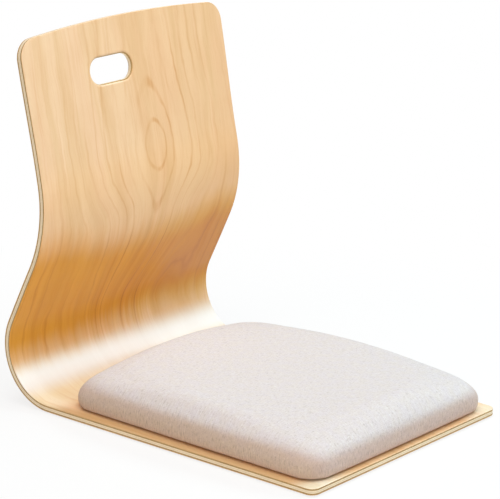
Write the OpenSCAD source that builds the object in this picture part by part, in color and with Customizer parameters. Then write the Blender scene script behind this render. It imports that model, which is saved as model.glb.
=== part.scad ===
// Legless floor chair: one bent sheet of laminated veneers with a hand hole, and an upholstered seat pad.
// Millimetres. X runs across the seat, +Y runs towards the back, +Z is up.
// The origin is on the floor, under the middle of the chair.

/* [Shell sheet] */
// Thickness of the veneer on each outer face
face_veneer_t = 0.8; // [0.5:0.1:1.2]
// Thickness of the first and the last core ply
outer_ply_t = 2; // [1.5:0.1:2.4]
// Thickness of each of the three plies between them
core_ply_t = 1.3; // [1:0.1:1.8]
// Width at the front edge of the seat
front_w = 400; // [360:5:440]
// Width at the heel and lower back
heel_w = 410; // [380:1:450]
// Width at the waist, where the back is narrowest
waist_w = 398; // [350:1:440]
// Width at the top of the back
top_w = 402; // [350:1:440]

/* [Shell bends] */
// Flat length of the seat, from the front edge to the start of the heel bend
seat_l = 460; // [420:5:500]
// Inner radius of the heel bend, on the sitter's face
heel_r = 71; // [60:1:90]
// Angle that the heel bend turns through
heel_turn = 116; // [105:0.5:120]
// Straight length of the lower back
lower_back_l = 90; // [60:1:120]
// Radius of the lumbar bend, on the sitter's face
lumbar_r = 190; // [140:1:260]
// Angle that the lumbar bend turns back through
lumbar_turn = 37.5; // [25:0.5:45]
// Straight length of the upper back, up to the crest of the top edge
upper_back_l = 205; // [180:1:260]

/* [Shell outline] */
// Radius of the two front corners of the seat
front_corner_r = 12; // [6:1:40]
// Radius of the two top corners of the back
top_corner_r = 28; // [12:1:45]
// How far the top edge falls from its crest to the corners
top_drop = 10; // [4:1:20]
// Distance behind the front edge where the seat reaches its full width
flare_l = 440; // [300:5:450]
// Distance of the waist above the end of the lumbar bend
waist_rise = 32; // [10:1:60]
// Distance below the end of the lumbar bend where the sides start to draw in
waist_start = 165; // [120:1:220]

/* [Hand hole] */
// Width of the hand hole
hole_w = 81; // [70:1:110]
// Height of the hand hole
hole_h = 36; // [30:1:48]
// Radius of its rounded edge, on both faces
hole_edge_r = 4; // [1:0.5:5]
// Distance of its centre below the crest of the top edge
hole_drop = 70.5; // [50:0.5:100]
// Distance of its centre from the middle of the back, towards +X
hole_side = -36; // [-60:1:60]

/* [Seat pad] */
// Bare seat in front of the pad
pad_front_gap = 7; // [4:1:40]
// Bare flat seat behind the pad
pad_rear_gap = 24; // [5:1:60]
// Bare seat beside the pad, at the front edge
pad_side_gap = 11; // [8:1:40]
// Radius of the pad's corners
pad_corner_r = 32; // [25:1:60]
// Height of the pad's top at its corners
pad_h = 34; // [30:1:55]
// How far the top crowns from side to side
crown_across = 20; // [4:1:24]
// How far the top crowns from front to back
crown_along = 18; // [4:1:24]
// How much of the two crowns the flat middle of the top loses
crown_flat = 18; // [0:1:20]
// Width of the rounded shoulder
shoulder_w = 28; // [20:1:50]
// Height at which the pad is widest
belly_h = 17; // [12:1:24]
// How far the wall draws in from there to its foot
tuck = 6; // [2:0.5:10]

/* [Upholstery] */
// Thickness of the cover cloth
cover_t = 1.2; // [0.8:0.1:1.6]
// Thickness of the wadding over the foam
wadding_t = 5; // [3:0.5:8]
// Thickness of the cloth under the pad
dust_cloth_t = 0.6; // [0.4:0.1:1]
// Thickness of the board in the pad
board_t = 9; // [8:0.5:14]
// Distance of the board's edge inside the widest line of the pad
board_inset = 10; // [9:0.5:16]
// Radius of the board's corners
board_corner_r = 26; // [12:1:30]
// Width of the cover's hem under the board
hem_w = 32; // [24:1:45]
// How far the dust cloth laps over the hem
dust_lap = 10; // [5:1:12]
// Clearance left around soft pieces
soft_gap = 0.3; // [0.2:0.05:0.4]

/* [Fasteners] */
// Thread diameter of the pad screws
screw_d = 6; // [5:0.5:6]
// Length of the pad screws over the head
screw_l = 19.5; // [18:0.5:20]
// Head diameter of the pad screws
screw_head_d = 12; // [11:0.5:13]
// Depth of each head below the underside of the seat
head_sink = 0.3; // [0.1:0.1:0.6]
// Radial clearance of a screw in the shell
screw_gap = 0.3; // [0.2:0.1:0.6]
// Distance of the screws from the board's edges
screw_inset = 66; // [50:1:90]
// Outer diameter of a tee nut's barrel
nut_barrel_d = 7.8; // [7.2:0.1:8.6]
// Length of a tee nut's barrel
nut_barrel_l = 7; // [5:0.5:7.5]
// Diameter of a tee nut's flange
nut_flange_d = 19; // [16:0.5:24]
// Thickness of a tee nut's flange
nut_flange_t = 1.2; // [0.8:0.1:1.6]
// Length of a tee nut's prongs
prong_l = 5; // [3:0.5:6]
// Width of a tee nut's prongs
prong_w = 2.4; // [1.5:0.1:3]
// Distance across the corners of a screw's socket
socket_d = 4.6; // [4:0.1:5]
// Depth of a screw's socket
socket_h = 2.4; // [1.5:0.1:2.6]
// Largest distance between two staples
staple_pitch = 80; // [70:1:120]
// Width of a staple
staple_w = 10; // [8:0.5:12]
// Length of a staple's legs
staple_leg_l = 6; // [4:0.5:8]
// Width of the staple wire
wire_w = 1.2; // [0.8:0.1:1.4]
// Clearance around a driven prong or staple leg
driven_gap = 0.05; // [0.03:0.01:0.1]

/* [Feet] */
// Diameter of a felt foot
foot_d = 28; // [20:1:40]
// Thickness of a felt foot
foot_t = 2; // [1.5:0.5:5]
// Distance from a foot's centre to the edges of the flat seat
foot_inset = 42; // [30:1:70]

/* [Hidden] */
$fn = 96;

// Fineness of the bends, and of the top edge's long arch
bend_fn = 240;
arch_fn = 1440;

core_plies = 5;
shell_t = 2 * (face_veneer_t + outer_ply_t) + (core_plies - 2) * core_ply_t;
// Depths of the core plies' faces below the sitter's face
core_depths = [
    face_veneer_t,
    for (i = [0:core_plies - 2]) face_veneer_t + outer_ply_t + i * core_ply_t,
    shell_t - face_veneer_t
];
// Depth of the chair, from the front edge to the back of the heel
depth = seat_l + heel_r + shell_t;
// The hand hole's edges leave a straight band in the middle of the sheet
hole_round = min(hole_edge_r, shell_t / 2 - 0.5);
// Larger than any cut that it has to pass through
reach = 2 * depth;

// A flat and a bend cross by this much where they meet, so that they join in one clean line
cross = 0.005;

// Side view of the sitter's face, in [Y, Z] from the front edge of the underside
function along(a) = [cos(a), sin(a)];
function into_sheet(a) = [sin(a), -cos(a)];
upper_a = heel_turn - lumbar_turn;
heel_c = [seat_l, shell_t + heel_r - cross];
heel_end = heel_c + (heel_r - cross) * into_sheet(heel_turn);
lumbar_start = heel_end + lower_back_l * along(heel_turn);
lumbar_c = lumbar_start + (lumbar_r - cross) * into_sheet(heel_turn);
lumbar_end = lumbar_c - (lumbar_r - cross) * into_sheet(upper_a);

// Places in the pad, all from the top of the seat
pad_w = front_w - 2 * pad_side_gap;
pad_l = seat_l - pad_front_gap - pad_rear_gap;
pad_mid = pad_front_gap + pad_l / 2;
board_z = dust_cloth_t + cover_t;
board_top = board_z + board_t;
board_w = pad_w - 2 * board_inset;
board_l = pad_l - 2 * board_inset;
wadding_in = cover_t + soft_gap;
foam_in = wadding_in + wadding_t + soft_gap;
open_w = board_w - 2 * hem_w;
open_l = board_l - 2 * hem_w;
screw_x = board_w / 2 - screw_inset;
screw_y = board_l / 2 - screw_inset;
screw_head_h = (screw_head_d - screw_d) / 2;
wire_t = dust_cloth_t;

module in_chair() {
    translate([0, -depth / 2, foot_t]) children();
}

module in_pad() {
    in_chair() translate([0, pad_mid, shell_t]) children();
}

// Everything on the sitter's side of the surface that lies at depth d in the sheet, seen from the side
module sitter_side(d) {
    far_end = lumbar_end + (upper_back_l + reach / 4) * along(upper_a);
    far_corner = far_end - reach * into_sheet(upper_a);
    difference() {
        union() {
            polygon([
                [-reach, shell_t - d],
                [seat_l, shell_t - d],
                heel_c,
                heel_end + d * into_sheet(heel_turn),
                lumbar_start + d * into_sheet(heel_turn),
                lumbar_c,
                lumbar_end + d * into_sheet(upper_a),
                far_end + d * into_sheet(upper_a),
                far_corner,
                [-reach, far_corner[1]]
            ]);
            translate(heel_c) circle(heel_r + d, $fn = bend_fn);
        }
        translate(lumbar_c) circle(lumbar_r - d, $fn = bend_fn);
    }
}

// Side view of the veneer between the depths d0 and d1
module side_view(d0, d1) {
    difference() {
        sitter_side(d1);
        sitter_side(d0);
    }
}

// Seat from above: tangent corner circles on sides that flare out towards the heel
module seat_outline() {
    flare = (heel_w - front_w) / 2 / flare_l;
    lean = sqrt(1 + flare * flare);
    corner_x = front_w / 2 + flare * front_corner_r - front_corner_r * lean;
    touch = [corner_x + front_corner_r / lean, front_corner_r * (1 - flare / lean)];
    half = [[corner_x, 0], touch, [heel_w / 2, flare_l], [heel_w / 2, reach]];
    polygon([for (p = half) p, for (i = [3:-1:0]) [-half[i][0], half[i][1]]]);
    for (s = [-1, 1]) translate([s * corner_x, front_corner_r]) circle(front_corner_r + cross);
}

// Half width of the back at height s above the end of the lumbar bend, eased from heel to waist to top
function ease(t) = t * t * (3 - 2 * t);
function back_half(s, s_top) =
    s < waist_rise
    ? heel_w / 2 + (waist_w - heel_w) / 2 * ease((s + waist_start) / (waist_rise + waist_start))
    : waist_w / 2 + (top_w - waist_w) / 2 * ease((s - waist_rise) / (s_top - waist_rise));

// Back seen square on, in [X, s]: eased sides, arched top edge, round top corners
module back_outline() {
    steps = 14;
    arch_r = (pow(top_w / 2, 2) + pow(top_drop, 2)) / (2 * top_drop);
    arch_c = upper_back_l - arch_r;
    corner_x = top_w / 2 - top_corner_r;
    corner_s = arch_c + sqrt(pow(arch_r - top_corner_r, 2) - pow(corner_x, 2));
    touch = [0, arch_c] + arch_r / (arch_r - top_corner_r) * [corner_x, corner_s - arch_c];
    lower = [for (i = [0:steps]) -waist_start + (waist_rise + waist_start) * i / steps];
    upper = [for (i = [1:steps]) waist_rise + (corner_s - waist_rise) * i / steps];
    half = [
        [heel_w / 2, -reach],
        for (s = lower) [back_half(s, corner_s), s],
        for (s = upper) [back_half(s, corner_s), s],
        touch,
        [touch[0], upper_back_l + top_corner_r]
    ];
    intersection() {
        polygon([for (p = half) p, for (i = [len(half) - 1:-1:0]) [-half[i][0], half[i][1]]]);
        union() {
            translate([0, arch_c]) circle(arch_r, $fn = arch_fn);
            translate([-reach / 2, -reach]) square([reach, reach]);
        }
    }
    for (s = [-1, 1]) translate([s * corner_x, corner_s]) circle(top_corner_r + cross);
}

// Lays X, s and the height over the sitter's face on the upper back
module on_back() {
    translate([0, lumbar_end[0], lumbar_end[1]]) rotate([upper_a, 0, 0]) children();
}

// Carries a drawing in [X, s] onto the upper back, and runs it through the sheet
module through_back(l) {
    on_back() linear_extrude(height = l, center = true) children();
}

// Section of the hand hole from start outwards: straight in the sheet's middle, rounded out to both faces
module hole_section(start) {
    wide = hole_h / 2 + hole_round;
    difference() {
        translate([start, -shell_t - 1]) square([wide - start, shell_t + 2]);
        for (s = [-1, 1]) {
            for (h = [-hole_round, hole_round - shell_t]) translate([s * wide, h]) circle(hole_round);
            translate([s * wide, -shell_t / 2]) square([2 * hole_round, shell_t - 2 * hole_round], center = true);
        }
    }
}

module hand_hole() {
    side = hole_w - hole_h;
    on_back() translate([hole_side, upper_back_l - hole_drop, 0]) {
        rotate([90, 0, 90]) linear_extrude(height = side, center = true)
            hole_section(-hole_h / 2 - hole_round);
        for (s = [-1, 1]) translate([s * side / 2, 0, 0]) rotate_extrude() hole_section(0);
    }
}

// Clearance hole and countersink for one pad screw, from the underside of the seat
module screw_cut() {
    head_r = screw_head_d / 2 + screw_gap;
    shank_r = screw_d / 2 + screw_gap;
    translate([0, 0, -shell_t]) cylinder(r = shank_r, h = 3 * shell_t);
    translate([0, 0, -shell_t]) cylinder(r = head_r, h = shell_t + head_sink);
    translate([0, 0, head_sink]) cylinder(r1 = head_r, r2 = shank_r, h = head_r - shank_r);
}

module at_screws() {
    for (x = [-screw_x, screw_x], y = [-screw_y, screw_y]) translate([x, y, 0]) children();
}

// One veneer of the shell, between depths d0 and d1 below the sitter's face
module shell_ply(d0, d1) {
    in_chair() difference() {
        intersection() {
            translate([-heel_w, 0, 0]) rotate([90, 0, 90]) linear_extrude(2 * heel_w) side_view(d0, d1);
            translate([0, 0, -shell_t]) linear_extrude(reach) seat_outline();
            through_back(2 * reach) back_outline();
        }
        hand_hole();
        translate([0, pad_mid, 0]) at_screws() screw_cut();
    }
}

module face_veneer() {
    color("burlywood") shell_ply(0, face_veneer_t);
}

core_shades = ["peru", "wheat", "tan", "wheat", "peru"];
module core_ply(i) {
    color(core_shades[i - 1]) shell_ply(core_depths[i - 1], core_depths[i]);
}

module back_veneer() {
    color("burlywood") shell_ply(shell_t - face_veneer_t, shell_t);
}

// Rectangle with round corners, centred
module round_plate(w, l, r, h) {
    linear_extrude(h) {
        square([w - 2 * r, l], center = true);
        square([w, l - 2 * r], center = true);
        for (x = [-1, 1], y = [-1, 1]) translate([x * (w / 2 - r), y * (l / 2 - r)]) circle(r);
    }
}

// Outline of the pad at its widest, counter-clockwise: a few points on each round corner and each side
corner_steps = 5;
side_steps = 5;
function corner_centre(q) = [
    (q == 0 || q == 3 ? 1 : -1) * (pad_w / 2 - pad_corner_r),
    (q < 2 ? 1 : -1) * (pad_l / 2 - pad_corner_r)
];
function corner_point(q, i) = corner_centre(q) + pad_corner_r * along(90 * (q + i / corner_steps));
pad_outline = [
    for (q = [0:3]) each [
        for (i = [0:corner_steps]) corner_point(q, i),
        for (i = [1:side_steps - 1])
            let (t = i / side_steps)
            corner_point(q, corner_steps) * (1 - t) + corner_point((q + 1) % 4, 0) * t
    ]
];

// Height of the crowned top at p, lowered by the inset d
function top_h(p, d) =
    pad_h - d
    + crown_across * (1 - pow(2 * p[0] / pad_w, 2))
    + crown_along * (1 - pow(2 * p[1] / pad_l, 2))
    - crown_flat * (1 - pow(2 * p[0] / pad_w, 2)) * (1 - pow(2 * p[1] / pad_l, 2));

// Scale of the outline at angle a up the wall, for the inset d and a wall that draws in by draw
function wall_scale(d, draw, a) = 1 - (d + draw * (1 - cos(a))) / (pad_w / 2);
// Angles of the wall's rings: -90 is the foot, 0 the belly and 90 the inner edge of the shoulder
wall_angles = [-90, -60, -30, 0, 22.5, 45, 67.5, 90];
// The crown's rings, as shares of the shoulder's inner edge
crown_scales = [0.68, 0.34];

// The cushion's closed form, drawn in by d all round: rolled foot, belly, shoulder and two-way crown
module cushion_form(d) {
    n = len(pad_outline);
    rings = [
        for (a = wall_angles) [
            for (o = pad_outline)
                let (p = o * wall_scale(d, a < 0 ? tuck : shoulder_w, a))
                a < 0
                ? [p[0], p[1], d + (belly_h - d) * (1 + sin(a))]
                : [p[0], p[1], belly_h + (top_h(p, d) - belly_h) * sin(a)]
        ],
        for (k = crown_scales) [
            for (o = pad_outline)
                let (p = o * k * wall_scale(d, shoulder_w, 90))
                [p[0], p[1], top_h(p, d)]
        ]
    ];
    m = len(rings);
    crest = [0, 0, top_h([0, 0], d)];
    foot = [0, 0, d];
    points = [for (r = rings) each r, crest, foot];
    faces = [
        for (j = [0:m - 2], i = [0:n - 1])
            each let (k = (i + 1) % n) [
                [j * n + i, (j + 1) * n + i, (j + 1) * n + k],
                [j * n + i, (j + 1) * n + k, j * n + k]
            ],
        for (i = [0:n - 1]) each let (k = (i + 1) % n) [
            [(m - 1) * n + i, m * n, (m - 1) * n + k],
            [i, k, m * n + 1]
        ]
    ];
    translate([0, 0, dust_cloth_t]) polyhedron(points, faces);
}

module pad_board() {
    color("tan") in_pad() difference() {
        translate([0, 0, board_z]) round_plate(board_w, board_l, board_corner_r, board_t);
        at_screws() cylinder(d = nut_barrel_d + 2 * driven_gap, h = 2 * board_top);
        at_screws() nut_prongs(driven_gap);
        staple_legs(driven_gap);
    }
}

module pad_foam() {
    color("khaki") in_pad() difference() {
        cushion_form(foam_in);
        translate([-reach / 2, -reach / 2, board_top - reach]) cube(reach);
        translate([0, 0, board_top - 1])
            at_screws() cylinder(d = nut_flange_d + 2 * soft_gap, h = 1 + nut_flange_t + soft_gap, $fn = 24);
    }
}

module pad_wadding() {
    color("white") in_pad() difference() {
        cushion_form(wadding_in);
        cushion_form(wadding_in + wadding_t);
        translate([-reach / 2, -reach / 2, board_z - reach]) cube(reach);
        translate([0, 0, board_z - 1])
            linear_extrude(board_t + 1) board_pocket();
    }
}

// Room for the board in the wadding, with its corners in few faces
module board_pocket() {
    w = board_w + 2 * soft_gap;
    l = board_l + 2 * soft_gap;
    r = board_corner_r;
    square([w - 2 * r, l], center = true);
    square([w, l - 2 * r], center = true);
    for (x = [-1, 1], y = [-1, 1]) translate([x * (w / 2 - r), y * (l / 2 - r)]) circle(r, $fn = 32);
}

module pad_cover() {
    color("linen") in_pad() difference() {
        cushion_form(0);
        cushion_form(cover_t);
        linear_extrude(board_z + cover_t) square([open_w, open_l], center = true);
        staple_legs(driven_gap);
    }
}

module pad_dust_cloth() {
    w = open_w + 2 * dust_lap;
    l = open_l + 2 * dust_lap;
    color("dimgray") in_pad() difference() {
        round_plate(w, l, dust_lap, dust_cloth_t);
        translate([0, 0, -1]) at_screws() cylinder(d = nut_barrel_d, h = dust_cloth_t + 2);
    }
}

// Staples stand along the middle of the hem's bare strip, as even as the pitch allows
staple_line = (hem_w - dust_lap) / 2;
staple_wx = board_w / 2 - staple_line;
staple_ly = board_l / 2 - staple_line;
function staple_row(half) =
    let (run = half - board_corner_r, n = ceil(2 * run / staple_pitch))
    [for (i = [0:n]) -run + 2 * run * i / n];

module at_staples() {
    for (x = staple_row(staple_wx), s = [-1, 1]) translate([x, s * staple_ly, 0]) children();
    for (y = staple_row(staple_ly), s = [-1, 1]) translate([s * staple_wx, y, 0]) rotate(90) children();
}

module staple_legs(gap) {
    leg_x = (staple_w - wire_t) / 2;
    at_staples() for (s = [-1, 1])
        translate([s * leg_x - wire_t / 2 - gap, -wire_w / 2 - gap, wire_t - gap])
            cube([wire_t + 2 * gap, wire_w + 2 * gap, cover_t + staple_leg_l + 2 * gap]);
}

module cover_staples() {
    color("silver") in_pad() {
        at_staples() translate([-staple_w / 2, -wire_w / 2, 0]) cube([staple_w, wire_w, wire_t]);
        staple_legs(0);
    }
}

module nut_prongs(gap) {
    reach_r = nut_flange_d / 2 - nut_flange_t;
    for (a = [45:90:315]) rotate(a)
        translate([reach_r - gap, -prong_w / 2 - gap, board_top - prong_l - gap])
            cube([nut_flange_t + 2 * gap, prong_w + 2 * gap, prong_l + 2 * gap]);
}

module tee_nuts() {
    color("silver") in_pad() at_screws() {
        difference() {
            union() {
                translate([0, 0, board_top]) cylinder(d = nut_flange_d, h = nut_flange_t);
                translate([0, 0, board_top - nut_barrel_l]) cylinder(d = nut_barrel_d, h = nut_barrel_l);
            }
            translate([0, 0, board_top - nut_barrel_l - 1])
                cylinder(d = screw_d + 2 * driven_gap, h = nut_barrel_l + nut_flange_t + 2);
        }
        nut_prongs(0);
    }
}

// One countersunk screw, head down, with a six-sided socket
module pad_screw() {
    difference() {
        union() {
            cylinder(d1 = screw_head_d, d2 = screw_d, h = screw_head_h);
            translate([0, 0, screw_head_h]) cylinder(d = screw_d, h = screw_l - screw_head_h);
        }
        translate([0, 0, -1]) cylinder(d = socket_d, h = socket_h + 1, $fn = 6);
    }
}

module pad_screws() {
    color("silver") in_chair() translate([0, pad_mid, head_sink]) at_screws() pad_screw();
}

// A felt disc stuck under the flat seat; x and y are -1 or 1
module foot(x, y) {
    foot_x = front_w / 2 - foot_inset;
    foot_y = y < 0 ? foot_inset : seat_l - foot_inset;
    color("gray") translate([x * foot_x, foot_y - depth / 2, 0]) cylinder(d = foot_d, h = foot_t);
}

face_veneer();
core_ply(1);  // core_ply_1
core_ply(2);  // core_ply_2
core_ply(3);  // core_ply_3
core_ply(4);  // core_ply_4
core_ply(5);  // core_ply_5
back_veneer();
pad_board();
pad_foam();
pad_wadding();
pad_cover();
pad_dust_cloth();
cover_staples();
tee_nuts();
pad_screws();
foot(-1, -1);  // foot_front_left
foot(1, -1);  // foot_front_right
foot(-1, 1);  // foot_rear_left
foot(1, 1);  // foot_rear_right
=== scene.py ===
import math

import bpy
import numpy as np
from mathutils import Matrix, Vector


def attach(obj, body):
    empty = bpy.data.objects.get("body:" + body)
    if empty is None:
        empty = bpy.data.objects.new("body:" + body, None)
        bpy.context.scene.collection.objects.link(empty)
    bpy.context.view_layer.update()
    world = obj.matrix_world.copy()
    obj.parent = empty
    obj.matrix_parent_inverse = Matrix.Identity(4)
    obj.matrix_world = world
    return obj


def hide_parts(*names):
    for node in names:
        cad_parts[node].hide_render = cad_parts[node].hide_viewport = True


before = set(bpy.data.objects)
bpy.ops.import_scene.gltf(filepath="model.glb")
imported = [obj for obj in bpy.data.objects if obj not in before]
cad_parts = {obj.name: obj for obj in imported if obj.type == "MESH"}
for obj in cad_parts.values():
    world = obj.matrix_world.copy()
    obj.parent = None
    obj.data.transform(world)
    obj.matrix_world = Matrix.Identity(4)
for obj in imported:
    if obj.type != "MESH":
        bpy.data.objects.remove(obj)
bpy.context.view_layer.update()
print("frame loaded:", len(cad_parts), "nodes")


# Small helpers for nodes and meshes

def newMaterial(name):
    material = bpy.data.materials.new(name)
    material.use_nodes = True
    return material, material.node_tree, material.node_tree.nodes["Principled BSDF"]


def fillSockets(tree, node, inputs):  # a socket among the inputs is linked, a number or colour is set
    for name, value in inputs.items():
        if isinstance(value, bpy.types.NodeSocket):
            tree.links.new(value, node.inputs[name])
        else:
            node.inputs[name].default_value = value


def addNode(tree, kind, inputs=None, **settings):
    node = tree.nodes.new(kind)
    for name, value in settings.items():
        setattr(node, name, value)
    fillSockets(tree, node, inputs or {})
    return node


def attributeVector(tree, name):
    return addNode(tree, "ShaderNodeAttribute", attribute_name=name).outputs["Vector"]


def objectPlace(tree):
    return addNode(tree, "ShaderNodeTexCoord").outputs["Object"]


def splitVector(tree, vector):
    return addNode(tree, "ShaderNodeSeparateXYZ", {"Vector": vector}).outputs


def joinVector(tree, x, y, z=0.0):
    return addNode(tree, "ShaderNodeCombineXYZ", {"X": x, "Y": y, "Z": z}).outputs["Vector"]


def noise(tree, source, scale, shift=(0, 0, 0), detail=2.0, rough=0.5, bend=0.0):
    place = addNode(tree, "ShaderNodeMapping", {"Vector": source, "Scale": scale, "Location": shift}).outputs["Vector"]
    return addNode(tree, "ShaderNodeTexNoise", {
        "Vector": place, "Scale": 1.0, "Detail": detail, "Roughness": rough, "Distortion": bend}).outputs["Fac"]


def mathNode(tree, operation, a, b=0.0, clamp=False):
    return addNode(tree, "ShaderNodeMath", {0: a, 1: b}, operation=operation, use_clamp=clamp).outputs[0]


def times(tree, first, *others):
    for other in others:
        first = mathNode(tree, "MULTIPLY", first, other)
    return first


def plus(tree, first, *others):
    for other in others:
        first = mathNode(tree, "ADD", first, other)
    return first


def minus(tree, a, b):
    return mathNode(tree, "SUBTRACT", a, b)


def spread(tree, value, low, high, toLow=0.0, toHigh=1.0):  # low..high becomes toLow..toHigh, with soft ends
    return addNode(tree, "ShaderNodeMapRange", {
        "Value": value, "From Min": low, "From Max": high, "To Min": toLow, "To Max": toHigh},
        interpolation_type="SMOOTHSTEP").outputs["Result"]


def hill(tree, value, a, b, c, d):  # rises from 0 to 1 between a and b, and falls to 0 between c and d
    return times(tree, spread(tree, value, a, b), spread(tree, value, c, d, 1.0, 0.0))


def blendColours(tree, share, a, b, mode="MIX"):
    return addNode(tree, "ShaderNodeMix", {0: share, 6: a, 7: b}, data_type="RGBA", blend_type=mode).outputs[2]


def stain(tree, base, share, tint):  # the base times the tint, by its share
    return blendColours(tree, share, base, tint, "MULTIPLY")


def layer(tree, base, pattern, look, mode="MULTIPLY"):  # the look is a colour and the ramp from pattern to share
    tint, ramp = look
    return blendColours(tree, spread(tree, pattern, *ramp), base, tint, mode)


def bump(tree, height, distance, strength, under=None):
    inputs = {"Height": height, "Distance": distance, "Strength": strength}
    if under is not None:
        inputs["Normal"] = under
    return addNode(tree, "ShaderNodeBump", inputs).outputs["Normal"]


def colour(r, g, b):
    return (r, g, b, 1.0)


def makePiece(name, points, faces, material, smooth=True):
    mesh = bpy.data.meshes.new(name)
    mesh.from_pydata(points, [], faces)
    mesh.validate()
    mesh.materials.append(material)
    mesh.polygons.foreach_set("use_smooth", np.full(len(mesh.polygons), smooth))
    piece = bpy.data.objects.new(name, mesh)
    bpy.context.scene.collection.objects.link(piece)
    return piece


def setAttribute(piece, name, vectors):
    attribute = piece.data.attributes.new(name, "FLOAT_VECTOR", "POINT")
    attribute.data.foreach_set("vector", np.ascontiguousarray(vectors, np.float32).ravel())


def dress(nodes, material):
    for name in nodes:
        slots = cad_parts[name].data.materials
        slots.clear()
        slots.append(material)


# Camera, at the photograph's viewing angle

camera = {
    "place": (-2.420406, -2.019211, 1.163959),
    "right": (0.64421144, -0.76475179, 0.01209644),
    "up": (0.21063829, 0.19259696, 0.95840384),
    "lens": 175.476,
    "sensor": 36.0,
    "clipEnd": 50.0,
}


def addCamera(settings):
    data = bpy.data.cameras.new("camera")
    data.lens, data.sensor_width, data.sensor_fit = settings["lens"], settings["sensor"], "HORIZONTAL"
    data.clip_end = settings["clipEnd"]
    right, up = Vector(settings["right"]), Vector(settings["up"])
    turned = Matrix((right, up, right.cross(up))).transposed().to_4x4()
    viewer = bpy.data.objects.new("camera", data)
    viewer.matrix_world = Matrix.Translation(settings["place"]) @ turned
    bpy.context.scene.collection.objects.link(viewer)
    bpy.context.scene.camera = viewer


addCamera(camera)
print("camera placed")


# Shell: the two outer veneers, on one grid of x across and s along the sheet

sheet = {
    "seatLength": 0.460, "heelRadius": 0.071, "heelTurn": 116.0, "lowerBack": 0.090,
    "lumbarRadius": 0.190, "lumbarTurn": 37.5, "upperBack": 0.205,
    "thickness": 0.0095, "veneer": 0.0008, "arris": 0.0007, "footHeight": 0.002,
    "frontWidth": 0.400, "heelWidth": 0.410, "waistWidth": 0.398, "topWidth": 0.402,
    "frontRound": 0.012, "topRound": 0.028, "topDrop": 0.010,
    "flareLength": 0.440, "waistRise": 0.032, "waistStart": 0.165,
    "handX": -0.036, "handRise": 0.1345,  # middle of the hand hole, its rise from the end of the lumbar bend
    "handSide": 0.0225, "handRadius": 0.0180, "handRound": 0.004,  # half of its straight side, its ends, its edge
    "screwRows": (0.083, 0.360), "screwX": 0.113, "shankHole": 0.0033, "headHole": 0.0063,
}
depthOfChair = sheet["seatLength"] + sheet["heelRadius"] + sheet["thickness"]
heelAngle = math.radians(sheet["heelTurn"])
upperAngle = math.radians(sheet["heelTurn"] - sheet["lumbarTurn"])

sheetMesh = {
    "columns": (0.0096, 0.0115, 0.016, 0.024, 0.036, 0.056, 0.070, 0.084, 0.096, 0.1045,
                -0.0816, -0.0835, -0.087, -0.0925, -0.0985, -0.1045),  # between the holes
    "edgeColumns": (0.1215, 0.127, 0.136, 0.147, 0.158, 0.169, 0.179, 0.188, 0.195, 0.1992, 0.2008, 0.2014),
    "handColumns": 7, "holeTurns": (0, 15, 30, 45, 60, 75, 90),
    "straight": 0.130,  # the columns run straight up to this x
    "handZone": 0.050, "screwZone": 0.020,  # how far from a hole the rows give way to it
    "slitShares": (1, 0.6, 0.35, 0.16, 0.04, 0),  # rows beside a slit, as shares of the zone
    "frontRows": 5, "seatRows": 20, "rearRows": 8, "heelRows": 41, "lowerRows": 9, "lumbarRows": 21, "upperRows": 8,
    "cornerRows": 10, "arrisTurns": (0, 22.5, 45, 67.5, 90),
    "sameRow": 1e-9, "sharedPoint": 1e-7,
}


def sheetKnots():
    # Ends of the flats and bends: how far along the sheet, the angle there, and the place in [Y, Z]
    runs = [sheet["seatLength"], sheet["heelRadius"] * heelAngle, sheet["lowerBack"],
            sheet["lumbarRadius"] * (heelAngle - upperAngle), sheet["upperBack"]]
    angles = np.array([0.0, 0.0, heelAngle, heelAngle, upperAngle, upperAngle])
    s = np.concatenate([[0.0], np.cumsum(runs)])
    half = np.diff(angles) / 2
    chord = np.array(runs) * np.sinc(half / np.pi)
    middle = angles[:-1] + half
    y = np.concatenate([[0.0], np.cumsum(chord * np.cos(middle))])
    z = np.concatenate([[0.0], np.cumsum(chord * np.sin(middle))])
    return s, angles, y - depthOfChair / 2, z + sheet["footHeight"] + sheet["thickness"]


knotS, knotAngle, knotY, knotZ = sheetKnots()
seatEnd, heelEnd, lowerEnd, lumbarEnd = knotS[1:5]
lumbarY, lumbarZ = knotY[4], knotZ[4]


def sheetPlace(s, depth):
    # Each flat or bend turns evenly, so its chord is the run times sin(t)/t for half its turn t,
    # at the middle angle; a point at a depth lies that far down the sheet's normal
    k = np.clip(np.searchsorted(knotS, s, side="right") - 1, 0, len(knotS) - 2)
    angle = np.interp(s, knotS, knotAngle)
    half = (angle - knotAngle[k]) / 2
    chord = (s - knotS[k]) * np.sinc(half / np.pi)
    y = knotY[k] + chord * np.cos(knotAngle[k] + half) + depth * np.sin(angle)
    z = knotZ[k] + chord * np.sin(knotAngle[k] + half) - depth * np.cos(angle)
    return y, z


def ease(t):  # 3t^2 - 2t^3 between 0 and 1
    t = np.clip(t, 0.0, 1.0)
    return t * t * (3 - 2 * t)


halfTop, halfWaist, halfHeel = sheet["topWidth"] / 2, sheet["waistWidth"] / 2, sheet["heelWidth"] / 2
archRadius = (halfTop ** 2 + sheet["topDrop"] ** 2) / (2 * sheet["topDrop"])
archCentre = sheet["upperBack"] - archRadius
topCorner = halfTop - sheet["topRound"]
cornerRise = archCentre + math.sqrt((archRadius - sheet["topRound"]) ** 2 - topCorner ** 2)
flare = (halfHeel - sheet["frontWidth"] / 2) / sheet["flareLength"]
frontCorner = (sheet["frontWidth"] / 2 + flare * sheet["frontRound"]
               - sheet["frontRound"] * math.sqrt(1 + flare ** 2))


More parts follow.
